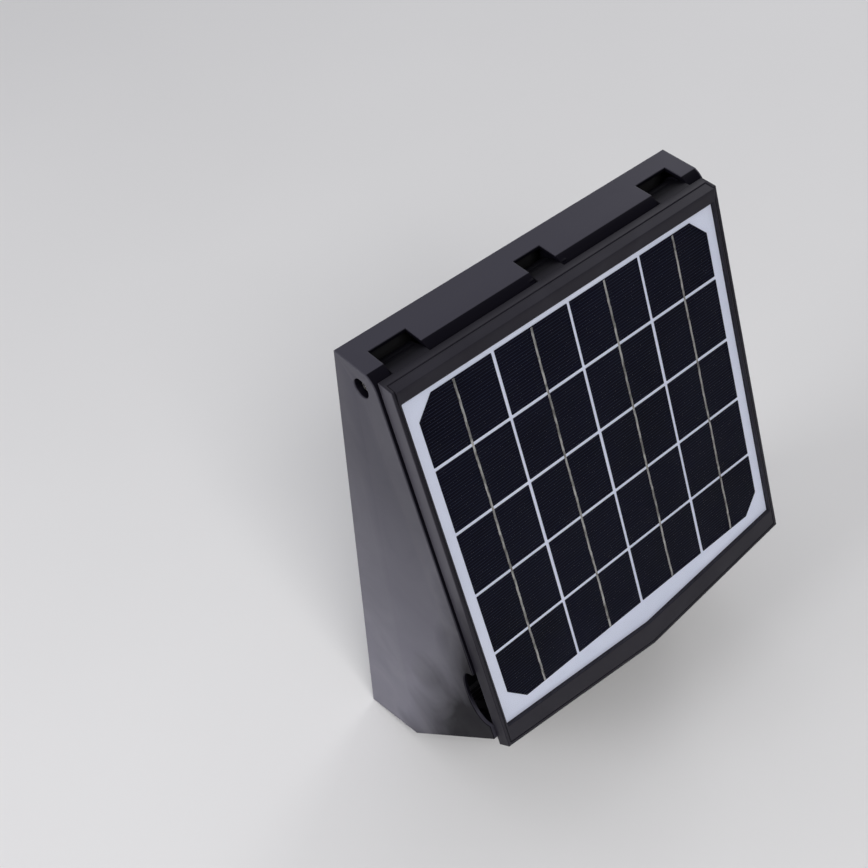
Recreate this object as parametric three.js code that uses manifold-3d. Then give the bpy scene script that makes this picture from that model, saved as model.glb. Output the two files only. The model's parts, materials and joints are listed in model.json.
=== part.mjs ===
// Solar attic fan: a wall hood with a tilting solar panel on its front and an axial fan inside.
// Lengths in mm, +Z up, the front faces -Y and the wall is the plane y = 0.
// The drawing is made with z = 0 at the top of the hood, then moved so the origin lies on the wall face.
import * as THREE from 'three';
import { mergeVertices } from 'three/addons/utils/BufferGeometryUtils.js';
import Module from 'manifold-3d';

const wasm = await Module();
wasm.setup();

// Where the origin lies on the wall plate, below the top of the hood
const ORIGIN_BELOW_TOP = 14;

// Hood
const HOOD_HALF = 120.25;
const WALL = 2.5;
const HINGE_Y = -20;
const HINGE_Z = -12;
const CORNER_R = 12.6;
const CORNER_R_END = 13.1;
const KINK = [-44.5, -306];
const BACK_LOW = [0, -318];
const FRONT_LOW_V = 222;
const CHEEK_W = -8.1;
const NOTCH_V = [173.5, 212.5];
const NOTCH_DEPTH = 13.2;

// Windows in the hood's top for the hinge arms: centre and half width
const WINDOWS = [[-96.25, 12.25], [0, 9.75], [96.25, 12.25]];
const WINDOW_BACK_Y = -12;
const KNUCKLE_R = 7.4;
const ARM_GAP = 0.35;

// Panel plane: tilt from the vertical, and the point where v = 0 and w = 0
const TILT = 0.368;
const PANEL_Y = -43.57;
const PANEL_Z = -13.79;

// Panel tray and module
const TRAY_HALF = 118.1;
const TRAY_RIM = 1.9;
const TRAY_BACK_W = -7.6;
const TRAY_FLOOR_W = [-5.6, -3.6];
const TRAY_TOP_Z = -1.9;
const TRAY_CORNER_V = 227.5;
const TRAY_MID_V = 239;
const TRAY_LEAN = 0.38;
const MODULE_HALF = 115.8;
const MODULE_W = [-3.3, 1.9];
const MODULE_CORNER_V = 221.8;
const MODULE_MID_V = 233.2;
const SHEET_HALF = 114.5;
const SHEET_TOP_V = -3.7;
const SHEET_CORNER_V = 211;
const SHEET_MID_V = 220;
const NOSE_W = 2.8;

// Cells
const CELL = [52, 39];
const CELL_GAP = 2;
const CELL_COLUMNS = 4;
const CELL_ROWS = 5;
const CELL_TOP_V = 0.5;
const CELL_CHAMFER = 11.5;
const RIBBON_HALF = 0.7;

// Fan
const FAN_Z = -178;
const DUCT_R = 78;
const RING_R = [78.5, 81.5];
const RING_Y = [-49, -9.1];
const EAR_R = 97;
const STRUT_Y = [-49, -46];
const BLADES = 7;
const BLADE_R = [26, 76.4];
const BLADE_Y = [-40, -18];
const HUB_R = [25, 27];
const HUB_Y = [-44, -13];

// Outlet grille, measured along the sloping underside from its front edge
const OUTLET_S = [15, 95];
const OUTLET_HALF = 95;
const SLATS = 9;

const sinT = Math.sin(TILT);
const cosT = Math.cos(TILT);

// A point of the panel's own plane, v down the panel and w out of it, as [y, z]
function panelPoint(v, w) {
  return [PANEL_Y - w * cosT - v * sinT, PANEL_Z + w * sinT - v * cosT];
}

// Solids
function solid(geometry) {
  const clean = geometry.clone();
  clean.deleteAttribute('normal');
  clean.deleteAttribute('uv');
  const merged = mergeVertices(clean, 1e-5);
  return new wasm.Manifold(new wasm.Mesh({
    numProp: 3,
    vertProperties: new Float32Array(merged.attributes.position.array),
    triVerts: new Uint32Array(merged.index.array),
  }));
}

function geometryOf(body) {
  const mesh = body.getMesh();
  const geometry = new THREE.BufferGeometry();
  geometry.setAttribute('position', new THREE.BufferAttribute(new Float32Array(mesh.vertProperties), 3));
  geometry.setIndex(new THREE.BufferAttribute(new Uint32Array(mesh.triVerts), 1));
  return geometry;
}

function join(...bodies) {
  return bodies.reduce((whole, body) => whole.add(body));
}

function cut(body, ...tools) {
  return tools.reduce((left, tool) => left.subtract(tool), body);
}

// A box given by its low and high corners
function block(low, high) {
  const size = high.map((value, i) => value - low[i]);
  const geometry = new THREE.BoxGeometry(...size);
  geometry.translate(...low.map((value, i) => value + size[i] / 2));
  return solid(geometry);
}

// An outline of [y, z] points, swept along X
function sweepX(outline, x0, x1) {
  const shape = new THREE.Shape(outline.map(([y, z]) => new THREE.Vector2(y, z)));
  const geometry = new THREE.ExtrudeGeometry(shape, { depth: x1 - x0, bevelEnabled: false });
  geometry.applyMatrix4(new THREE.Matrix4().set(0, 0, 1, x0, 1, 0, 0, 0, 0, 1, 0, 0, 0, 0, 0, 1));
  return solid(geometry);
}

// An outline of [x, v] points on the panel, thickened from w0 to w1. Its bottom edge may lean back.
function panelSlab(outline, w0, w1, lean = 0) {
  const shape = new THREE.Shape(outline.map(([x, v]) => new THREE.Vector2(x, -v)));
  const geometry = new THREE.ExtrudeGeometry(shape, { depth: w1 - w0, bevelEnabled: false });
  geometry.translate(0, 0, w0);
  const position = geometry.attributes.position;
  for (let i = 0; i < position.count && lean > 0; i++) {
    if (position.getY(i) < -150) position.setY(i, position.getY(i) + lean * (position.getZ(i) - w0));
  }
  const place = new THREE.Matrix4().makeBasis(
    new THREE.Vector3(1, 0, 0),
    new THREE.Vector3(0, sinT, cosT),
    new THREE.Vector3(0, -cosT, sinT),
  );
  place.setPosition(0, PANEL_Y, PANEL_Z);
  geometry.applyMatrix4(place);
  return solid(geometry);
}

function panelBlock(x, v, w) {
  return panelSlab([[x[0], v[0]], [x[1], v[0]], [x[1], v[1]], [x[0], v[1]]], w[0], w[1]);
}

// A turned part from an outline of [radius, height] points, its height along `axis`
function turned(outline, axis, at, steps = 32) {
  const closed = [...outline, outline[0]];
  const points = closed.map(([r, h]) => new THREE.Vector2(r, h));
  const geometry = new THREE.LatheGeometry(points, steps);
  if (axis === 'x') geometry.rotateZ(-Math.PI / 2);
  if (axis === 'z') geometry.rotateX(Math.PI / 2);
  geometry.translate(...at);
  const body = solid(geometry);
  if (body.volume() > 0) return body;
  const mesh = body.getMesh();
  const flipped = new Uint32Array(mesh.triVerts);
  for (let i = 0; i < flipped.length; i += 3) {
    [flipped[i], flipped[i + 1]] = [flipped[i + 1], flipped[i]];
  }
  return new wasm.Manifold(new wasm.Mesh({
    numProp: 3, vertProperties: mesh.vertProperties, triVerts: flipped,
  }));
}

function disc(r, h0, h1, axis, at, steps = 32) {
  return turned([[0, h0], [r, h0], [r, h1], [0, h1]], axis, at, steps);
}

function ring(r0, r1, h0, h1, axis, at, steps = 32) {
  return turned([[r0, h0], [r1, h0], [r1, h1], [r0, h1]], axis, at, steps);
}

// Materials
const PAINTS = {
  hood: [0x2b2b30, 0.42, 0],
  tray: [0x1b1b1f, 0.4, 0],
  inner: [0x202024, 0.6, 0],
  white: [0xd8dbe4, 0.45, 0],
  cell: [0x0b0c18, 0.3, 0.1],
  glass: [0xe8eef4, 0.08, 0],
  steel: [0xb4b6ba, 0.3, 1],
  rubber: [0x111112, 0.85, 0],
  board: [0x1d5b35, 0.5, 0],
  magnet: [0x3b3b3d, 0.5, 0.6],
  core: [0x77797c, 0.45, 0.9],
};

const group = new THREE.Group();

function add(name, body, paint) {
  const [color, roughness, metalness] = PAINTS[paint];
  const geometry = geometryOf(body);
  geometry.translate(0, 0, ORIGIN_BELOW_TOP);
  geometry.computeVertexNormals();
  const mesh = new THREE.Mesh(geometry, new THREE.MeshStandardMaterial({ color, roughness, metalness }));
  mesh.name = name;
  group.add(mesh);
}

// Hood: one moulded shell, open at the front and the back
function arc(r0, r1, from, to, count) {
  const points = [];
  for (let i = 0; i <= count; i++) {
    const turn = THREE.MathUtils.degToRad(from + (to - from) * i / count);
    const radius = r0 + (r1 - r0) * i / count;
    points.push([HINGE_Y + radius * Math.cos(turn), HINGE_Z + radius * Math.sin(turn)]);
  }
  return points;
}

const frontLow = panelPoint(FRONT_LOW_V, CHEEK_W);
const footTurn = 90 + 68.6;
const crestTurn = 90 + THREE.MathUtils.radToDeg(Math.acos(-HINGE_Z / CORNER_R));

function slopePoint(s, h) {
  const length = Math.hypot(KINK[0] - frontLow[0], KINK[1] - frontLow[1]);
  const along = [(KINK[0] - frontLow[0]) / length, (KINK[1] - frontLow[1]) / length];
  return [frontLow[0] + along[0] * s - along[1] * h, frontLow[1] + along[1] * s + along[0] * h];
}

function scoopOutline() {
  const middle = (NOTCH_V[0] + NOTCH_V[1]) / 2;
  const half = (NOTCH_V[1] - NOTCH_V[0]) / 2;
  const points = [panelPoint(NOTCH_V[1], 2), panelPoint(NOTCH_V[0], 2)];
  for (let i = 0; i <= 18; i++) {
    const turn = Math.PI * i / 18;
    const depth = NOTCH_DEPTH * Math.max(0, Math.sin(turn)) ** 0.7;
    points.push(panelPoint(middle - half * Math.cos(turn), CHEEK_W - depth));
  }
  return points;
}

function hoodShell() {
  const outer = [[0, 0], ...arc(CORNER_R, CORNER_R_END, crestTurn, footTurn, 10), frontLow, KINK, BACK_LOW];
  const kinkIn = [KINK[0] + 1.4, KINK[1] + 2.25];
  const inner = [
    [1, -WALL],
    ...arc(CORNER_R - WALL - 0.5, CORNER_R - WALL, 90, 186, 10),
    [-60, -13], [-150, -190], slopePoint(-25, WALL), kinkIn, [1, BACK_LOW[1] + WALL + 0.1],
  ];
  let body = cut(
    sweepX(outer, -HOOD_HALF, HOOD_HALF),
    sweepX(inner, -HOOD_HALF + WALL, HOOD_HALF - WALL),
  );
  // Bosses that carry the hinge screws, and ribs that carry the middle pin
  for (const side of [-1, 1]) {
    body = join(body, disc(8.2, -4.6, 4.6, 'x', [side * 113.4, HINGE_Y, HINGE_Z], 28));
    body = cut(body, disc(5.75, -6, 6, 'x', [side * 118.6, HINGE_Y, HINGE_Z], 28));
    body = cut(body, disc(2.7, -9, 9, 'x', [side * 113, HINGE_Y, HINGE_Z], 20));
    const rib = block([-1.5, -28.6, -21], [1.5, -12, -1.5]).translate([side * 12, 0, 0]);
    const pinHole = disc(2.6, -4, 4, 'x', [side * 12, HINGE_Y, HINGE_Z], 20);
    body = cut(join(body, rib), pinHole);
    // Finger scoop in the cheek's front edge
    const notch = sweepX(scoopOutline(), -4, 4);
    body = cut(body, notch.translate([side * 119, 0, 0]));
  }
  // Windows for the hinge arms, through the top and its rounded front edge
  for (const [centre, half] of WINDOWS) {
    body = cut(body, block([centre - half, -40, -30], [centre + half, WINDOW_BACK_Y, 5]));
  }
  // Air outlet in the sloping underside
  const outlet = [
    slopePoint(OUTLET_S[0], -3), slopePoint(OUTLET_S[1], -3),
    slopePoint(OUTLET_S[1], 6), slopePoint(OUTLET_S[0], 6),
  ];
  body = cut(body, sweepX(outlet, -OUTLET_HALF, OUTLET_HALF));
  // Screw holes in the lowest wall
  for (const side of [-1, 1]) {
    body = cut(body, disc(2.2, -8, 8, 'z', [side * 80, -14, -314], 20));
  }
  return body;
}
add('housing_hood', hoodShell(), 'hood');

// Wall plate, gasket and inlet guard
const EARS = [45, 135, 225, 315].map((turn) => {
  const angle = THREE.MathUtils.degToRad(turn);
  return [EAR_R * Math.cos(angle), FAN_Z + EAR_R * Math.sin(angle)];
});

function wallPlate() {
  let body = block([-117.2, -3, -310.5], [117.2, 0, -3]);
  body = cut(body, disc(DUCT_R, -5, 5, 'y', [0, 0, FAN_Z], 64));
  for (const [x, z] of EARS) {
    body = join(body, disc(5, -8.8, -2, 'y', [x, 0, z], 20));
    body = cut(body, disc(1.9, -10, -0.6, 'y', [x, 0, z], 16));
  }
  for (const side of [-1, 1]) {
    // Holes for the screws that hold the plate to the wall
    for (const z of [-26, -292]) body = cut(body, disc(2.8, -5, 5, 'y', [side * 104, 0, z], 20));
    // Blocks the hood is screwed to
    body = join(body, block([side * 80 - 6, -22, -308.6], [side * 80 + 6, -2, -299]));
    body = cut(body, disc(1.7, -10, 7, 'z', [side * 80, -14, -309], 16));
  }
  body = cut(body, ring(83, 88.3, -1.3, 1, 'y', [0, 0, FAN_Z], 64));
  return body;
}
add('wall_plate', wallPlate(), 'inner');
add('wall_gasket', ring(83.3, 88, -1.1, 0, 'y', [0, 0, FAN_Z], 64), 'rubber');

function inletGuard() {
  const at = [0, 0, FAN_Z];
  let body = ring(76, 81, -8.8, -6.3, 'y', at, 40);
  for (const r of [16, 31, 46, 61]) body = join(body, ring(r - 0.9, r + 0.9, -8.2, -6.6, 'y', at, 32));
  for (const turn of [22.5, 67.5, 112.5, 157.5]) {
    const spoke = block([-78, -8.5, -0.9], [78, -6.5, 0.9]);
    body = join(body, spoke.rotate([0, turn, 0]).translate(at));
  }
  return body;
}
add('inlet_guard', inletGuard(), 'inner');

// Fan frame: ring, ears, struts, motor base and bearing tube in one moulding
function fanFrame() {
  const at = [0, 0, FAN_Z];
  let body = ring(RING_R[0], RING_R[1], RING_Y[0], RING_Y[1], 'y', at, 64);
  for (const [x, z] of EARS) {
    const ear = block([-7, RING_Y[1] - 2.9, -26], [7, RING_Y[1], 7]);
    const turn = THREE.MathUtils.radToDeg(Math.atan2(x, z - FAN_Z));
    body = join(body, ear.rotate([0, turn, 0]).translate([x, 0, z]));
    body = cut(body, disc(2.1, -15, 0, 'y', [x, 0, z], 16));
  }
  body = cut(body, disc(RING_R[0], RING_Y[0] - 1, RING_Y[1] + 1, 'y', at, 64));
  for (const turn of [0, 90]) {
    const strut = block([-80, STRUT_Y[0], -4], [80, STRUT_Y[1], 4]);
    body = join(body, strut.rotate([0, turn, 0]).translate(at));
  }
  body = join(body, disc(27, STRUT_Y[0], STRUT_Y[1], 'y', at, 40));
  body = join(body, disc(6.4, STRUT_Y[0], -19.8, 'y', at, 28));
  body = cut(body, disc(5.2, -60, 0, 'y', at, 28));
  return body;
}
add('fan_frame', fanFrame(), 'inner');
EARS.forEach(([x, z], i) => {
  const screw = turned([[0, -15], [3.4, -15], [3.8, -12.3], [1.6, -12.3], [1.6, -1], [0, -1]], 'y', [x, 0, z], 18);
  add(`fan_screw_${i + 1}`, screw, 'steel');
});

// One blade: a cambered, twisted sheet between two radii
function blade(start) {
  const rows = 6;
  const columns = 6;
  const corner = (i, j, side) => {
    const radius = BLADE_R[0] + (BLADE_R[1] - BLADE_R[0]) * i / rows;
    const out = i / rows;
    const along = j / columns - 0.5;
    const sweep = THREE.MathUtils.degToRad(46 - 6 * out);
    const angle = start + along * sweep + 0.14 * out * out;
    const rise = (BLADE_Y[1] - BLADE_Y[0]) * (1 - 0.38 * out);
    const middle = (BLADE_Y[0] + BLADE_Y[1]) / 2;
    const camber = 2.6 * (0.25 - along * along) * 4;
    const y = middle + along * rise + camber + side * (1.5 - 0.6 * out);
    return [radius * Math.cos(angle), y, FAN_Z + radius * Math.sin(angle)];
  };
  const points = [];
  const faces = [];
  const index = (i, j, side) => (side * (rows + 1) + i) * (columns + 1) + j;
  for (const side of [0, 1]) {
    for (let i = 0; i <= rows; i++) {
      for (let j = 0; j <= columns; j++) points.push(...corner(i, j, side === 0 ? -1 : 1));
    }
  }
  const quad = (a, b, c, d) => faces.push(a, b, c, a, c, d);
  for (let i = 0; i < rows; i++) {
    for (let j = 0; j < columns; j++) {
      quad(index(i, j, 0), index(i + 1, j, 0), index(i + 1, j + 1, 0), index(i, j + 1, 0));
      quad(index(i, j, 1), index(i, j + 1, 1), index(i + 1, j + 1, 1), index(i + 1, j, 1));
    }
  }
  for (let i = 0; i < rows; i++) {
    quad(index(i, 0, 0), index(i, 0, 1), index(i + 1, 0, 1), index(i + 1, 0, 0));
    quad(index(i, columns, 0), index(i + 1, columns, 0), index(i + 1, columns, 1), index(i, columns, 1));
  }
  for (let j = 0; j < columns; j++) {
    quad(index(0, j, 0), index(0, j + 1, 0), index(0, j + 1, 1), index(0, j, 1));
    quad(index(rows, j, 0), index(rows, j, 1), index(rows, j + 1, 1), index(rows, j + 1, 0));
  }
  const make = (order) => new wasm.Manifold(new wasm.Mesh({
    numProp: 3, vertProperties: new Float32Array(points), triVerts: new Uint32Array(order),
  }));
  const body = make(faces);
  if (body.volume() > 0) return body;
  const flipped = [];
  for (let i = 0; i < faces.length; i += 3) flipped.push(faces[i + 1], faces[i], faces[i + 2]);
  return make(flipped);
}

function impeller() {
  let body = turned([
    [0, HUB_Y[1]], [HUB_R[1] - 4, HUB_Y[1]], [HUB_R[1], HUB_Y[1] - 4], [HUB_R[1], HUB_Y[0]],
    [HUB_R[0], HUB_Y[0]], [HUB_R[0], HUB_Y[1] - 4.5], [HUB_R[0] - 1.5, HUB_Y[1] - 3],
    [4.5, HUB_Y[1] - 3], [4.5, -19.4], [1.62, -19.4], [1.62, -14.6], [0, -14.6],
  ], 'y', [0, 0, FAN_Z], 40);
  for (let i = 0; i < BLADES; i++) body = join(body, blade(i * 2 * Math.PI / BLADES));
  return body;
}
add('impeller', impeller(), 'inner');
add('rotor_magnet', ring(22.7, 24.7, -41, -21, 'y', [0, 0, FAN_Z], 36), 'magnet');

function statorCore() {
  const at = [0, 0, FAN_Z];
  let body = ring(6.7, 21.9, -39, -23, 'y', at, 36);
  for (let i = 0; i < 6; i++) {
    const slot = join(block([11, -45, -2.6], [19, -10, 2.6]), block([15, -45, -1], [25, -10, 1]));
    body = cut(body, slot.rotate([0, i * 60, 0]).translate(at));
  }
  return body;
}
add('stator_core', statorCore(), 'core');
add('motor_board', ring(6.9, 23.5, -45.6, -44.4, 'y', [0, 0, FAN_Z], 32), 'board');
add('motor_shaft', disc(1.5, -47.6, -14.9, 'y', [0, 0, FAN_Z], 20), 'steel');
add('bearing_front', ring(1.6, 5, -46.2, -41.2, 'y', [0, 0, FAN_Z], 24), 'steel');
add('bearing_rear', ring(1.6, 5, -25, -20, 'y', [0, 0, FAN_Z], 24), 'steel');

// Outlet grille: a frame screwed inside the underside, with sloping slats
function outletGrille() {
  const bar = (s0, s1, h0, h1, x0, x1) => sweepX([
    slopePoint(s0, h0), slopePoint(s1, h0), slopePoint(s1, h1), slopePoint(s0, h1),
  ], x0, x1);
  const edge = OUTLET_HALF - 0.5;
  let body = cut(
    bar(OUTLET_S[0] - 5, OUTLET_S[1] + 4, WALL + 0.3, WALL + 2.8, -edge - 5, edge + 5),
    bar(OUTLET_S[0] + 3, OUTLET_S[1] - 3, 0, 9, -edge + 3, edge - 3),
  );
  const pitch = (OUTLET_S[1] - OUTLET_S[0] - 6) / SLATS;
  for (let i = 0; i < SLATS; i++) {
    const s = OUTLET_S[0] + 4 + i * pitch;
    const slat = sweepX([
      slopePoint(s, 0.8), slopePoint(s + 1.8, 0.8), slopePoint(s + 7, 5), slopePoint(s + 5.2, 5),
    ], -edge + 1, edge - 1);
    body = join(body, slat);
  }
  for (const x of [-47, 0, 47]) {
    body = join(body, bar(OUTLET_S[0] + 1, OUTLET_S[1] - 1, 1.4, 5, x - 1.2, x + 1.2));
  }
  return body;
}
add('outlet_grille', outletGrille(), 'inner');
for (const [name, side] of [['left', -1], ['right', 1]]) {
  const outline = [[0, 0], [1.5, 0], [1.5, -11.2], [3.8, -11.4], [3.4, -13.6], [0, -13.6]];
  add(`hood_screw_${name}`, turned(outline, 'z', [side * 80, -14, -304.1], 18), 'steel');
}

// Hinge screws sit in their recesses, and a short pin carries the middle arm
for (const [name, side] of [['left', -1], ['right', 1]]) {
  const outline = [[0, 92], [2.35, 92], [2.35, 112.9], [3.6, 112.9], [3.6, 116], [2.9, 117.4], [0, 117.8]]
    .map(([r, x]) => [r, side * x]);
  let screw = turned(outline, 'x', [0, HINGE_Y, HINGE_Z], 22);
  const slot = block([-0.9, -0.55, -3], [0.9, 0.55, 3]);
  screw = cut(screw, slot.translate([side * 117.6, HINGE_Y, HINGE_Z]));
  screw = cut(screw, slot.rotate([90, 0, 0]).translate([side * 117.6, HINGE_Y, HINGE_Z]));
  add(`hinge_screw_${name}`, screw, 'steel');
}
add('hinge_pin', disc(2.35, -15, 15, 'x', [0, HINGE_Y, HINGE_Z], 20), 'steel');

// Panel tray: back board with a rim on its sides and bottom, and the three hinge arms
function vee(half, top, corner, middle) {
  return [[-half, top], [half, top], [half, corner], [0, middle], [-half, corner]];
}

function panelTray() {
  const topCut = block([-130, -80, TRAY_TOP_Z], [130, 0, 30]);
  let body = panelSlab(vee(TRAY_HALF, -30, TRAY_CORNER_V, TRAY_MID_V), TRAY_BACK_W, MODULE_W[1], TRAY_LEAN);
  const pocket = vee(TRAY_HALF - TRAY_RIM, -40, MODULE_CORNER_V + 0.4, MODULE_MID_V + 0.4);
  body = cut(body, panelSlab(pocket, TRAY_FLOOR_W[1], 10));
  const under = vee(TRAY_HALF - 6, -6, TRAY_CORNER_V - 7, TRAY_MID_V - 8);
  body = cut(body, panelSlab(under, TRAY_BACK_W - 1, TRAY_FLOOR_W[0]), topCut);
  // The arm's top curves down and back from the tray to the knuckle
  const armTop = [];
  for (let i = 0; i <= 8; i++) {
    const turn = THREE.MathUtils.degToRad(20 + 70 * i / 8);
    armTop.push([-29.5 + 15.6 * Math.cos(turn), -14 + 12 * Math.sin(turn)]);
  }
  for (const [centre, half] of WINDOWS) {
    const x0 = centre - half + ARM_GAP;
    const x1 = centre + half - ARM_GAP;
    const arm = join(
      disc(KNUCKLE_R, x0, x1, 'x', [0, HINGE_Y, HINGE_Z], 40),
      sweepX([
        ...armTop, [-31.5, TRAY_TOP_Z - 0.1], panelPoint(-12, TRAY_FLOOR_W[0]),
        panelPoint(9, TRAY_FLOOR_W[0]), [HINGE_Y - 4, HINGE_Z - KNUCKLE_R], [HINGE_Y, HINGE_Z - KNUCKLE_R],
        [HINGE_Y + 4, HINGE_Z - 4],
      ], x0, x1),
    );
    body = join(body, arm);
  }
  for (const side of [-1, 1]) {
    body = cut(body, disc(2.6, 88, 112, 'x', [0, HINGE_Y, HINGE_Z], 20).scale([side, 1, 1]));
  }
  return cut(body, disc(2.6, -14, 14, 'x', [0, HINGE_Y, HINGE_Z], 20));
}
add('panel_tray', panelTray(), 'tray');

// Module frame: the black surround the sheet sits in
function moduleFrame() {
  const topCut = block([-130, -80, TRAY_TOP_Z - 0.3], [130, 0, 30]);
  let body = panelSlab(vee(MODULE_HALF, -30, MODULE_CORNER_V, MODULE_MID_V), MODULE_W[0], MODULE_W[1]);
  const nose = sweepX([
    panelPoint(-30, MODULE_W[0] + 1), panelPoint(-30, NOSE_W), panelPoint(-9, NOSE_W),
    panelPoint(SHEET_TOP_V - 0.6, MODULE_W[1]), panelPoint(SHEET_TOP_V - 0.6, MODULE_W[0] + 1),
  ], -MODULE_HALF, MODULE_HALF);
  body = cut(join(body, nose), topCut);
  body = cut(body, panelSlab(vee(SHEET_HALF, SHEET_TOP_V, SHEET_CORNER_V, SHEET_MID_V), -1.9, 10));
  return cut(body, panelSlab(vee(104, 8, 198, 206), -10, 10));
}
add('module_frame', moduleFrame(), 'tray');

const sheet = vee(SHEET_HALF - 0.3, SHEET_TOP_V + 0.3, SHEET_CORNER_V - 0.3, SHEET_MID_V - 0.3);
add('backsheet', panelSlab(sheet, -1.6, -0.6), 'white');
add('panel_glass', panelSlab(sheet, 0.05, 0.65), 'glass');

// Cell strings: five cells of one column, soldered to the ribbon that runs down them
const arrayHalf = (CELL_COLUMNS * CELL[0] + (CELL_COLUMNS - 1) * CELL_GAP) / 2;
for (let column = 0; column < CELL_COLUMNS; column++) {
  const x0 = -arrayHalf + column * (CELL[0] + CELL_GAP);
  const x1 = x0 + CELL[0];
  const middle = (x0 + x1) / 2;
  const bottom = CELL_TOP_V + CELL_ROWS * (CELL[1] + CELL_GAP) - CELL_GAP;
  let body = panelBlock([middle - RIBBON_HALF, middle + RIBBON_HALF], [CELL_TOP_V, bottom], [-0.4, -0.1]);
  for (let row = 0; row < CELL_ROWS; row++) {
    const v0 = CELL_TOP_V + row * (CELL[1] + CELL_GAP);
    const v1 = v0 + CELL[1];
    const chamfer = (x, v) => {
      const endColumn = (x === x0 && column === 0) || (x === x1 && column === CELL_COLUMNS - 1);
      const endRow = (v === v0 && row === 0) || (v === v1 && row === CELL_ROWS - 1);
      return endColumn && endRow ? CELL_CHAMFER : 0;
    };
    const outline = [];
    const corner = (x, v, alongX, alongV, first) => {
      const size = chamfer(x, v);
      if (size === 0) outline.push([x, v]);
      else if (first === 'v') outline.push([x, v + alongV * size], [x + alongX * size, v]);
      else outline.push([x + alongX * size, v], [x, v + alongV * size]);
    };
    corner(x0, v0, 1, 1, 'v');
    corner(x1, v0, -1, 1, 'x');
    corner(x1, v1, -1, -1, 'v');
    corner(x0, v1, 1, -1, 'x');
    body = join(body, panelSlab(outline, -0.5, -0.2));
  }
  add(`cell_string_${column + 1}`, body, 'cell');
}

// Junction box on the back of the tray, filled with resin
const JUNCTION_X = [-30, 30];
const JUNCTION_V = [35, 78];
const JUNCTION_W = [-17, -5.9];
let junction = panelBlock(JUNCTION_X, JUNCTION_V, JUNCTION_W);
const glandAt = panelPoint(78, -11.6);
const alongPanel = (body) => body.rotate([-THREE.MathUtils.radToDeg(TILT), 0, 0])
  .translate([0, glandAt[0], glandAt[1]]);
junction = cut(junction, alongPanel(disc(3.3, -3, 4, 'z', [0, 0, 0], 20)));
add('junction_box', junction, 'inner');
add('junction_lid', panelBlock(JUNCTION_X, JUNCTION_V, [-19.3, -17.3]), 'inner');
const gland = alongPanel(turned([
  [1.7, 2.5], [3, 2.5], [3, -0.4], [5.2, -0.4], [5.2, -5], [3.6, -10], [1.7, -10],
], 'z', [0, 0, 0], 20));
add('panel_gland', gland, 'rubber');

// Charge controller on the wall plate, above the fan
const CASE = [[-46, -24, -64], [46, -3.3, -30]];
let controller = cut(block(...CASE), block([-44, -30, -62], [44, -5.3, -32]));
controller = cut(controller, disc(3.3, -70, -58, 'z', [0, -14, 0], 20));
add('controller_case', controller, 'inner');
add('controller_lid', block([-46, -26.3, -64], [46, -24.3, -30]), 'inner');
add('controller_board', block([-42, -10.6, -60], [42, -9, -34]), 'board');
add('controller_gland', turned([
  [1.7, -61], [3, -61], [3, -64.4], [5.2, -64.4], [5.2, -69], [3.6, -74], [1.7, -74],
], 'z', [0, -14, 0], 20), 'rubber');

export default group;
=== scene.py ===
"""Looks of the solar attic fan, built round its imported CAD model. Metres, +Z up, the panel faces -Y."""
import json
import math
import bmesh
import bpy
from mathutils import Matrix, Vector


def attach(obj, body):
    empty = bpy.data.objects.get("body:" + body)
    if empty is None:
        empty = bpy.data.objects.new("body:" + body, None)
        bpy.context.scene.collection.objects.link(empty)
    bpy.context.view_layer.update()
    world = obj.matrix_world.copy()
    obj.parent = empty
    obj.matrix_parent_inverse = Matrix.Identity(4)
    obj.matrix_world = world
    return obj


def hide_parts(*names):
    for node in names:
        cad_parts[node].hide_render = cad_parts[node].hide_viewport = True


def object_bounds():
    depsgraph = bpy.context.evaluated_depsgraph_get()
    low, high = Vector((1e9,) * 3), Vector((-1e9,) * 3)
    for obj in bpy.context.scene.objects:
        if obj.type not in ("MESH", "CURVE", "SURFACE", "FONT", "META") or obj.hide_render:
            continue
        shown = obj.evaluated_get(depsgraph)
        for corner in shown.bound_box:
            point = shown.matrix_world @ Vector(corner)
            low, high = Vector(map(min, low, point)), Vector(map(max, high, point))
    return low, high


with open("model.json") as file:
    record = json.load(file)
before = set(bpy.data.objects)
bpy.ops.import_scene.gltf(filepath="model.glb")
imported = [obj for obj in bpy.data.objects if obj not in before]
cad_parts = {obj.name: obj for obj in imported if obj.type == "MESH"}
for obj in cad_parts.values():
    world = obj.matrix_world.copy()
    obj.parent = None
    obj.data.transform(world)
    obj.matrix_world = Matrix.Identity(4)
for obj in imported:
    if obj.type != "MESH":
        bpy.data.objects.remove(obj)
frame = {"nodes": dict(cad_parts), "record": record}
cad_low, cad_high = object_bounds()

MM = 0.001

# Panel plane: tilt from the vertical, and the point where v = 0 and w = 0
TILT = 0.368
PANEL_Y = -43.57
PANEL_Z = 0.21

# Faces on which the materials paint shade and light differently
HOOD_HALF = 120.25
HOOD_TOP = 14.0
CREST_Y = -23.84
RECESS_LOW_Z = (-200.0, -190.0)
TRAY_HALF = 118.1
ARM_SHADE_Y = (-35.0, -25.5)

# Painted shade on the low front of the sides: its direction, where it starts and ends along it, and how far
# it wavers
SHADE_TOWARDS = (0.0, -0.978, -0.206)
SHADE_REACH = (110.0, 150.0)
SHADE_WAVER = 40.0

# Edges and plastic sheen
SMOOTH_ANGLE = 38.0
BEVEL_ANGLE = 32.0
PLASTIC_TINT = (0.94, 0.90, 1.0, 1.0)

# Cell array, measured down the panel (v) and across it (x)
CELL = (52.0, 39.0)
CELL_GAP = 2.0
COLUMNS = 4
ROWS = 5
CELL_TOP_V = 0.5
CELL_CHAMFER = 11.5
CELL_W = (-0.5, -0.22)
RIBBON_W = 0.04
RIBBON_HALF = 0.68
FINGER_PITCH = 1.81

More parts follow.
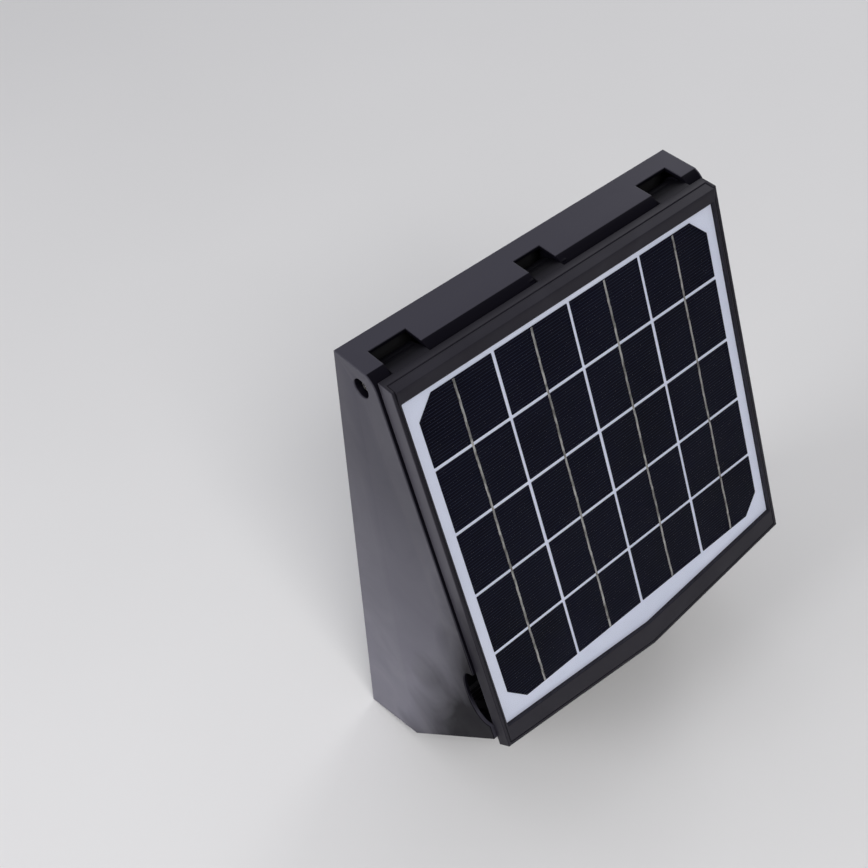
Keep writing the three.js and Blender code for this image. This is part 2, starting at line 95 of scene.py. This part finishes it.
# Camera, from the photograph's viewing angle
LENS = 56.6
CAMERA_AT = Vector((-0.3971, -0.4056, 0.4759))
CAMERA_X = Vector((0.7465, -0.6647, -0.0293))
CAMERA_Y = Vector((0.5020, 0.5337, 0.6806))

SIN_T = math.sin(TILT)
COS_T = math.cos(TILT)


def metres(*lengths):
    """Lengths in mm as metres."""
    return [length * MM for length in lengths]


def panel_point(x, v, w):
    """A point x across the panel, v down it and w out of its plane, in mm."""
    y = PANEL_Y - w * COS_T - v * SIN_T
    z = PANEL_Z + w * SIN_T - v * COS_T
    return Vector((x, y, z)) * MM


# ---------------------------------------------------------------- materials


class Nodes:
    """A material's node tree, with short calls for the nodes used here."""

    def __init__(self, name):
        self.material = bpy.data.materials.new(name)
        self.material.use_nodes = True
        self.tree = self.material.node_tree
        self.shader = self.tree.nodes["Principled BSDF"]
        self.place = self.node("ShaderNodeTexCoord").outputs["Object"]

    def node(self, kind, **settings):
        made = self.tree.nodes.new(kind)
        for key, value in settings.items():
            setattr(made, key, value)
        return made

    def link(self, source, target):
        self.tree.links.new(source, target)

    def stretch(self, size):
        """The object's coordinates, scaled differently along each axis."""
        mapping = self.node("ShaderNodeMapping")
        mapping.inputs["Scale"].default_value = size
        self.link(self.place, mapping.inputs["Vector"])
        return mapping.outputs["Vector"]

    def noise(self, scale, detail=2.0, distortion=0.0, vector=None, roughness=0.5):
        made = self.node("ShaderNodeTexNoise")
        made.inputs["Scale"].default_value = scale
        made.inputs["Detail"].default_value = detail
        made.inputs["Distortion"].default_value = distortion
        made.inputs["Roughness"].default_value = roughness
        self.link(vector or self.place, made.inputs["Vector"])
        return made.outputs["Fac"]

    def spread(self, source, low, high, start=0.3, end=0.7):
        """Maps start..end of a value to low..high."""
        made = self.node("ShaderNodeMapRange")
        made.inputs["From Min"].default_value = start
        made.inputs["From Max"].default_value = end
        made.inputs["To Min"].default_value = low
        made.inputs["To Max"].default_value = high
        self.link(source, made.inputs["Value"])
        return made.outputs["Result"]

    def mix(self, factor, first, second):
        made = self.node("ShaderNodeMix", data_type="RGBA")
        self.link(factor, made.inputs[0])
        for socket, value in ((made.inputs[6], first), (made.inputs[7], second)):
            if isinstance(value, tuple):
                socket.default_value = (*value, 1.0)
            else:
                self.link(value, socket)
        return made.outputs[2]

    def math(self, operation, first, second=None):
        made = self.node("ShaderNodeMath", operation=operation)
        for socket, value in zip(made.inputs, (first, second)):
            if value is None:
                continue
            if isinstance(value, (int, float)):
                socket.default_value = value
            else:
                self.link(value, socket)
        return made.outputs[0]

    def dot(self, direction):
        made = self.node("ShaderNodeVectorMath", operation="DOT_PRODUCT")
        self.link(self.place, made.inputs[0])
        made.inputs[1].default_value = direction
        return made.outputs["Value"]

    def set(self, **values):
        for key, value in values.items():
            self.shader.inputs[key.replace("_", " ")].default_value = value

    def feed(self, key, source):
        self.link(source, self.shader.inputs[key])

    def bump(self, height, strength, distance, edge=None):
        """Bump on the surface, over edges that the shader rounds by `edge` metres."""
        made = self.node("ShaderNodeBump")
        made.inputs["Strength"].default_value = strength
        made.inputs["Distance"].default_value = distance
        self.link(height, made.inputs["Height"])
        if edge:
            rounding = self.node("ShaderNodeBevel", samples=4)
            rounding.inputs["Radius"].default_value = edge
            self.link(rounding.outputs[0], made.inputs["Normal"])
        self.feed("Normal", made.outputs[0])


def inner_plastic():
    """The inner mouldings' matte plastic: fine grain, faint flow marks and uneven gloss."""
    n = Nodes("inner_moulded")
    cloud = n.noise(9.0, 3.0, 1.2)
    fine = n.noise(1600.0, 2.0)
    colour = n.mix(n.spread(cloud, 0.0, 1.0), (0.0120, 0.0120, 0.0130), (0.0190, 0.0190, 0.0200))
    n.feed("Base Color", colour)
    n.feed("Roughness", n.spread(n.noise(18.9, 4.0, 1.8), 0.45, 0.62, 0.25, 0.75))
    n.shader.inputs["Specular Tint"].default_value = PLASTIC_TINT
    height = n.math("ADD", n.math("MULTIPLY", cloud, 2.0), n.math("MULTIPLY", fine, 0.5))
    n.bump(height, 0.35, 0.00012, 0.0006)
    return n.material


def low_front_painted_shade(n, swirl):
    """Painted shade mask: rises from 0 to 1 towards the low front corner of the sides, with a soft, uneven
    border.
    """
    forward = n.math("ADD", n.dot(SHADE_TOWARDS), n.math("MULTIPLY", swirl, SHADE_WAVER * MM))
    return n.spread(forward, 0.0, 1.0, *metres(*SHADE_REACH))


def hood_plastic():
    """The hood's satin plastic, with painted light low on the cheeks and painted shade by their low front,
    in its recesses and in front of the crest.
    """
    n = Nodes("hood_moulded")
    swirl = n.noise(13.0, 3.0, 1.8)
    x = n.math("ABSOLUTE", n.dot((1.0, 0.0, 0.0)))
    y = n.dot((0.0, 1.0, 0.0))
    z = n.dot((0.0, 0.0, 1.0))
    # Painted shade on the hood between its cheeks, everywhere but the top face behind the crest
    below_top = n.spread(z, 1.0, 0.0, *metres(HOOD_TOP - 0.8, HOOD_TOP - 0.3))
    past_crest = n.spread(y, 1.0, 0.0, *metres(CREST_Y - 0.46, CREST_Y - 0.06))
    between_cheeks = n.spread(x, 1.0, 0.0, *metres(HOOD_HALF - 1.05, HOOD_HALF - 0.45))
    recess_painted_shade = n.math("MULTIPLY", between_cheeks, n.math("MAXIMUM", below_top, past_crest))
    recess_painted_shade = n.math("MULTIPLY", recess_painted_shade, n.spread(z, 0.0, 1.0, *metres(*RECESS_LOW_Z)))
    cheek = n.spread(x, 0.0, 1.0, *metres(HOOD_HALF - 0.85, HOOD_HALF - 0.25))
    # All painted shade: the cheeks' low front and the recesses
    painted_shade = n.math("MAXIMUM", n.math("MULTIPLY", low_front_painted_shade(n, swirl), cheek), recess_painted_shade)
    # Painted light: the cheeks paler than the top face, the more so the lower they are
    low = n.math("ADD", n.dot((0.0, 0.25, -0.97)), n.math("MULTIPLY", swirl, 0.030))
    cheek_painted_light = n.mix(n.spread(low, 0.0, 1.0, 0.06, 0.27), (0.060, 0.058, 0.073), (0.160, 0.155, 0.190))
    # The top face keeps its darker colour, the cheeks take their painted light
    body = n.mix(cheek, (0.040, 0.0385, 0.051), cheek_painted_light)
    # Painted shade turns the colour near black
    n.feed("Base Color", n.mix(painted_shade, body, (0.0045, 0.0040, 0.0068)))
    n.feed("Roughness", n.spread(n.noise(21.0, 4.0, 1.8), 0.34, 0.48, 0.25, 0.75))
    n.feed("Specular IOR Level", n.spread(painted_shade, 0.24, 0.04, 0.0, 1.0))
    n.shader.inputs["Specular Tint"].default_value = PLASTIC_TINT
    grain = n.noise(1600.0, 2.0)
    n.bump(n.math("ADD", swirl, n.math("MULTIPLY", grain, 0.2)), 0.3, 0.0001, 0.0008)
    return n.material


def tray_plastic():
    """The tray's darker plastic, with painted light on its sides that gives way to painted shade towards
    their low end, and painted shade on its arms.
    """
    n = Nodes("tray_moulded")
    swirl = n.noise(13.0, 3.0, 1.8)
    x = n.math("ABSOLUTE", n.dot((1.0, 0.0, 0.0)))
    # Painted light on the tray's sides, with painted shade taking over towards their low end
    edge = n.spread(x, 0.0, 1.0, *metres(TRAY_HALF - 0.5, TRAY_HALF - 0.1))
    side_painted_shade = n.math("MULTIPLY", edge, low_front_painted_shade(n, swirl))
    side = n.math("SUBTRACT", edge, side_painted_shade)
    front = n.mix(n.spread(swirl, 0.0, 1.0), (0.0150, 0.0138, 0.0190), (0.0225, 0.0212, 0.0275))
    rail_with_painted_light = n.mix(side, front, (0.072, 0.069, 0.083))
    # Painted shade on the arms in the hood's windows, darker towards the back
    arm_painted_shade = n.spread(n.dot((0.0, 1.0, 0.0)), 0.0, 1.0, *metres(*ARM_SHADE_Y))
    n.feed("Base Color", n.mix(arm_painted_shade, rail_with_painted_light, (0.0030, 0.0028, 0.0040)))
    n.feed("Roughness", n.spread(n.noise(19.0, 4.0, 1.8), 0.34, 0.5, 0.25, 0.75))
    n.feed("Specular IOR Level", n.spread(n.math("MAXIMUM", side_painted_shade, arm_painted_shade), 0.20, 0.05, 0.0, 1.0))
    n.shader.inputs["Specular Tint"].default_value = PLASTIC_TINT
    grain = n.noise(1600.0, 2.0)
    n.bump(n.math("ADD", swirl, n.math("MULTIPLY", grain, 0.2)), 0.3, 0.0001, 0.0006)
    return n.material


def metal(name, colour, rough, stretch=(900.0, 900.0, 60.0)):
    """Plated or turned metal with fine tool marks and a little dulling."""
    n = Nodes(name)
    marks = n.noise(1.0, 3.0, vector=n.stretch(stretch))
    dull = n.noise(240.0, 3.0)
    shade = tuple(c * 0.55 for c in colour)
    n.feed("Base Color", n.mix(n.spread(dull, 0.0, 1.0), shade, colour))
    n.feed("Roughness", n.spread(marks, rough[0], rough[1]))
    n.set(Metallic=1.0)
    n.bump(marks, 0.25, 0.00004, 0.0003)
    return n.material


def rubber(name):
    n = Nodes(name)
    fine = n.noise(900.0, 3.0)
    n.feed("Base Color", n.mix(fine, (0.008, 0.008, 0.009), (0.022, 0.022, 0.024)))
    n.feed("Roughness", n.spread(fine, 0.6, 0.85))
    n.bump(fine, 0.4, 0.0001, 0.0004)
    return n.material


def circuit_board():
    n = Nodes("board_mask")
    lanes = n.node("ShaderNodeTexBrick")
    lanes.inputs["Scale"].default_value = 160.0
    lanes.inputs["Color1"].default_value = (0.010, 0.075, 0.028, 1)
    lanes.inputs["Color2"].default_value = (0.014, 0.105, 0.040, 1)
    lanes.inputs["Mortar"].default_value = (0.030, 0.170, 0.070, 1)
    lanes.inputs["Mortar Size"].default_value = 0.04
    n.link(n.place, lanes.inputs["Vector"])
    n.feed("Base Color", lanes.outputs["Color"])
    n.feed("Roughness", n.spread(n.noise(500.0), 0.3, 0.45))
    n.bump(lanes.outputs["Fac"], 0.3, 0.00005)
    return n.material


def white_laminate():
    """White backing film seen through the clear cover: cool white with a faint cloudiness."""
    n = Nodes("laminate_white")
    cloud = n.noise(14.0, 3.0, 0.6)
    n.feed("Base Color", n.mix(n.spread(cloud, 0.0, 1.0), (0.70, 0.745, 0.89), (0.78, 0.82, 0.96)))
    n.feed("Roughness", n.spread(n.noise(60.0, 3.0), 0.34, 0.5))
    n.shader.inputs["Specular IOR Level"].default_value = 0.35
    n.bump(n.noise(700.0, 3.0), 0.12, 0.00006)
    return n.material


def silicon():
    """Dark blue-black cell with the thin printed lines that cross it."""
    n = Nodes("cell_silicon")
    down = n.dot((0.0, -SIN_T, -COS_T))
    phase = n.math("FRACT", n.math("MULTIPLY", down, 1000.0 / FINGER_PITCH))
    centred = n.math("ABSOLUTE", n.math("SUBTRACT", phase, 0.5))
    line = n.spread(centred, 1.0, 0.0, 0.05, 0.13)
    broken = n.spread(n.noise(1.0, 2.0, vector=n.stretch((90.0, 700.0, 700.0))), 0.70, 1.0, 0.3, 0.6)
    cloud = n.noise(11.0, 3.0, 0.8)
    body = n.mix(n.spread(cloud, 0.0, 1.0), (0.0018, 0.0016, 0.0052), (0.0034, 0.0034, 0.0105))
    n.feed("Base Color", n.mix(n.math("MULTIPLY", line, broken), body, (0.023, 0.027, 0.046)))
    n.feed("Roughness", n.spread(n.noise(40.0, 3.0), 0.34, 0.5))
    n.shader.inputs["Specular IOR Level"].default_value = 0.04
    n.bump(line, 0.15, 0.00002)
    return n.material


def ribbon_metal():
    """Tinned ribbon under the cover: grey with warm, uneven solder."""
    n = Nodes("ribbon_tinned")
    patch = n.noise(1.0, 3.0, 0.8, vector=n.stretch((500.0, 160.0, 160.0)))
    colour = n.mix(n.spread(patch, 0.0, 1.0, 0.35, 0.65), (0.15, 0.145, 0.135), (0.50, 0.50, 0.48))
    n.feed("Base Color", colour)
    n.feed("Roughness", n.spread(patch, 0.35, 0.6))
    n.set(Metallic=0.55)
    n.bump(patch, 0.5, 0.00012)
    return n.material


def clear_cover():
    n = Nodes("cover_clear")
    n.set(Alpha=0.004)
    n.shader.inputs["Specular IOR Level"].default_value = 0.3
    n.feed("Base Color", n.mix(n.noise(9.0, 3.0), (0.020, 0.022, 0.030), (0.030, 0.033, 0.045)))
    n.feed("Roughness", n.spread(n.noise(30.0, 3.0), 0.14, 0.24))
    return n.material


def pale_floor():
    n = Nodes("floor_pale")
    n.feed("Base Color", n.mix(n.noise(3.0, 4.0), (0.78, 0.775, 0.765), (0.83, 0.825, 0.815)))
    n.set(Roughness=0.9)
    n.bump(n.noise(120.0, 4.0), 0.08, 0.001)
    return n.material


HOOD = hood_plastic()
TRAY = tray_plastic()
INNER = inner_plastic()
SCREW = metal("screw_plated", (0.56, 0.55, 0.53), (0.22, 0.42))
IRON = metal("magnet_bare", (0.10, 0.10, 0.11), (0.45, 0.65))
CORE = metal("core_laminated", (0.34, 0.34, 0.35), (0.3, 0.5), stretch=(60.0, 4000.0, 60.0))
RUBBER = rubber("seal_rubber_matte")
BOARD = circuit_board()
WHITE = white_laminate()
CELLS = silicon()
RIBBON = ribbon_metal()
COVER = clear_cover()

# ---------------------------------------------------------------- pieces


def piece(name, mesh, material, body, replaces=()):
    """Adds a mesh as a piece of the object that rides on a body."""
    made = bpy.data.objects.new(name, mesh)
    bpy.context.scene.collection.objects.link(made)
    made.data.materials.clear()
    made.data.materials.append(material)
    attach(made, body)
    if replaces:
        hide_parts(*replaces)
    return made


def soften(made, width, segments):
    """Rounds the sharp edges of a piece by a real bevel."""
    bevel = made.modifiers.new("edge", "BEVEL")
    bevel.width = width
    bevel.segments = segments
    bevel.limit_method = "ANGLE"
    bevel.angle_limit = math.radians(BEVEL_ANGLE)
    bevel.harden_normals = True
    bevel.use_clamp_overlap = True
    bevel.miter_outer = "MITER_ARC"


def clean_copy(node):
    """A copy of a CAD node's mesh with its split corners joined and its flat faces whole."""
    work = bmesh.new()
    work.from_mesh(frame["nodes"][node].data)
    bmesh.ops.remove_doubles(work, verts=work.verts, dist=2e-6)
    bmesh.ops.dissolve_limit(
        work, angle_limit=math.radians(0.6), verts=work.verts, edges=work.edges, delimit={"NORMAL"}
    )
    for face in work.faces:
        face.smooth = True
    mesh = bpy.data.meshes.new(node + "_mesh")
    work.to_mesh(mesh)
    work.free()
    mesh.set_sharp_from_angle(angle=math.radians(SMOOTH_ANGLE))
    return mesh


BODIES = {
    node: body
    for body, nodes in frame["record"]["behaviour"]["bodies"].items()
    for node in nodes
}


def rounded(node, material, width, segments=2):
    """Stands for a CAD node with the same shape and softened edges."""
    made = piece(node + "_part", clean_copy(node), material, BODIES[node], [node])
    soften(made, width * MM, segments)
    return made


rounded("housing_hood", HOOD, 0.7, 3)
rounded("panel_tray", TRAY, 0.5, 2)
rounded("module_frame", TRAY, 0.35, 2)
rounded("wall_plate", INNER, 0.4)
rounded("fan_frame", INNER, 0.35)
rounded("impeller", INNER, 0.25)
rounded("inlet_guard", INNER, 0.25)
rounded("outlet_grille", INNER, 0.25)
rounded("junction_box", INNER, 0.8)
rounded("junction_lid", INNER, 0.8)
rounded("controller_case", INNER, 0.6)
rounded("controller_lid", INNER, 0.6)
rounded("wall_gasket", RUBBER, 0.2)
rounded("panel_gland", RUBBER, 0.3)
rounded("controller_gland", RUBBER, 0.3)
rounded("motor_board", BOARD, 0.1)
rounded("controller_board", BOARD, 0.1)
rounded("rotor_magnet", IRON, 0.2)
rounded("stator_core", CORE, 0.2)
rounded("backsheet", WHITE, 0.1)
for name in sorted(frame["nodes"]):
    if "screw" in name or name in ("hinge_pin", "motor_shaft", "bearing_front", "bearing_rear"):
        rounded(name, SCREW, 0.15)

# Cells and ribbons
ARRAY_HALF = (COLUMNS * CELL[0] + (COLUMNS - 1) * CELL_GAP) / 2


def prism(work, outline, w0, w1):
    """Adds a flat plate with that [x, v] outline between two heights over the panel."""
    low = [work.verts.new(panel_point(x, v, w0)) for x, v in outline]
    high = [work.verts.new(panel_point(x, v, w1)) for x, v in outline]
    count = len(outline)
    work.faces.new(low[::-1])
    work.faces.new(high)
    for i in range(count):
        j = (i + 1) % count
        work.faces.new((low[i], low[j], high[j], high[i]))


def cell_outline(x0, x1, v0, v1, column, row):
    """The cell's corners, with a chamfer where it is a corner of the whole array."""
    def cut(at_x, at_v):
        end_column = column == (0 if at_x == x0 else COLUMNS - 1)
        end_row = row == (0 if at_v == v0 else ROWS - 1)
        return CELL_CHAMFER if end_column and end_row else 0.25

    a, b, c, d = cut(x0, v0), cut(x1, v0), cut(x1, v1), cut(x0, v1)
    return [
        (x0, v0 + a), (x0, v1 - d), (x0 + d, v1), (x1 - c, v1),
        (x1, v1 - c), (x1, v0 + b), (x1 - b, v0), (x0 + a, v0),
    ]


for column in range(COLUMNS):
    x0 = -ARRAY_HALF + column * (CELL[0] + CELL_GAP)
    node = f"cell_string_{column + 1}"
    work = bmesh.new()
    for row in range(ROWS):
        v0 = CELL_TOP_V + row * (CELL[1] + CELL_GAP)
        slip = 0.12 * math.sin(2.1 * row + 1.7 * column)
        outline = cell_outline(x0 + slip, x0 + CELL[0] + slip, v0, v0 + CELL[1], column, row)
        prism(work, outline, *CELL_W)
    bmesh.ops.recalc_face_normals(work, faces=work.faces)
    mesh = bpy.data.meshes.new(node + "_cells")
    work.to_mesh(mesh)
    work.free()
    piece(node + "_cells", mesh, CELLS, "panel", [node])

    # The ribbon wanders a little and swells at its solder points
    work = bmesh.new()
    middle = x0 + CELL[0] / 2
    bottom = CELL_TOP_V + ROWS * (CELL[1] + CELL_GAP) - CELL_GAP
    steps = 96
    rings = []
    for i in range(steps + 1):
        v = CELL_TOP_V + 0.4 + (bottom - CELL_TOP_V - 0.8) * i / steps
        wander = 0.12 * math.sin(v * 0.11 + column * 2.0) + 0.07 * math.sin(v * 0.63 + column)
        half = RIBBON_HALF * (1.0 + 0.10 * math.sin(v * 1.31 + column * 1.3))
        crown = RIBBON_W - 0.03 * (1 + math.sin(v * 0.77 + column))
        rings.append([
            work.verts.new(panel_point(middle + wander + side * half, v, w))
            for side, w in ((-1, -0.2), (-0.7, crown - 0.05), (0.7, crown - 0.05), (1, -0.2))
        ])
    for one, two in zip(rings, rings[1:]):
        for j in range(3):
            work.faces.new((one[j], one[j + 1], two[j + 1], two[j]))
    for face in work.faces:
        face.smooth = True
    bmesh.ops.recalc_face_normals(work, faces=work.faces)
    mesh = bpy.data.meshes.new(node + "_ribbon")
    work.to_mesh(mesh)
    work.free()
    piece(node + "_ribbon", mesh, RIBBON, "panel")

cover = frame["nodes"]["panel_glass"]
cover.data.materials.clear()
cover.data.materials.append(COVER)

# ---------------------------------------------------------------- stage, light and camera

floor_mesh = bpy.data.meshes.new("floor")
floor_z = cad_low.z - 0.0005
reach = 6.0
floor_mesh.from_pydata(
    [(-reach, -reach, floor_z), (reach, -reach, floor_z), (reach, reach, floor_z), (-reach, reach, floor_z)],
    [], [(0, 1, 2, 3)],
)
floor = bpy.data.objects.new("floor", floor_mesh)
bpy.context.scene.collection.objects.link(floor)
floor.data.materials.append(pale_floor())


def softbox(name, at, aim, size, power, colour=(1.0, 1.0, 1.0)):
    data = bpy.data.lights.new(name, "AREA")
    data.shape = "RECTANGLE"
    data.size, data.size_y = size
    data.energy = power
    data.color = colour
    made = bpy.data.objects.new(name, data)
    bpy.context.scene.collection.objects.link(made)
    made.location = at
    made.rotation_mode = "QUATERNION"
    made.rotation_quaternion = (Vector(aim) - Vector(at)).to_track_quat("-Z", "Y")


CENTRE = (0.0, -0.06, -0.15)
softbox("front", (-0.7, -1.5, 1.7), CENTRE, (1.0, 1.0), 27.0, (1.0, 0.99, 0.99))
softbox("side", (-1.9, 0.3, 1.0), CENTRE, (1.0, 1.0), 15.0, (0.97, 0.97, 1.0))
softbox("rim", (1.9, 0.7, 0.9), CENTRE, (0.8, 0.8), 7.0, (0.98, 0.98, 1.0))

world = bpy.data.worlds.new("studio")
world.use_nodes = True
sky = world.node_tree
background = sky.nodes["Background"]
heading = sky.nodes.new("ShaderNodeTexCoord")
split = sky.nodes.new("ShaderNodeSeparateXYZ")
ramp = sky.nodes.new("ShaderNodeMapRange")
ramp.inputs["From Min"].default_value = -0.75
ramp.inputs["From Max"].default_value = 0.35
ramp.inputs["To Min"].default_value = 0.12
ramp.inputs["To Max"].default_value = 0.56
sky.links.new(heading.outputs["Generated"], split.inputs[0])
sky.links.new(split.outputs["Y"], ramp.inputs["Value"])
sky.links.new(ramp.outputs["Result"], background.inputs["Strength"])
background.inputs["Color"].default_value = (0.93, 0.94, 1.0, 1.0)
bpy.context.scene.world = world
bpy.context.scene.view_settings.view_transform = "Standard"

camera_data = bpy.data.cameras.new("camera")
camera_data.lens = LENS
camera_data.sensor_width = 36.0
camera_data.clip_start = 0.01
camera = bpy.data.objects.new("camera", camera_data)
bpy.context.scene.collection.objects.link(camera)
across = CAMERA_X.normalized()
up = (CAMERA_Y - across * CAMERA_Y.dot(across)).normalized()
back = across.cross(up)
camera.matrix_world = Matrix.Translation(CAMERA_AT) @ Matrix((across, up, back)).transposed().to_4x4()
bpy.context.scene.camera = camera
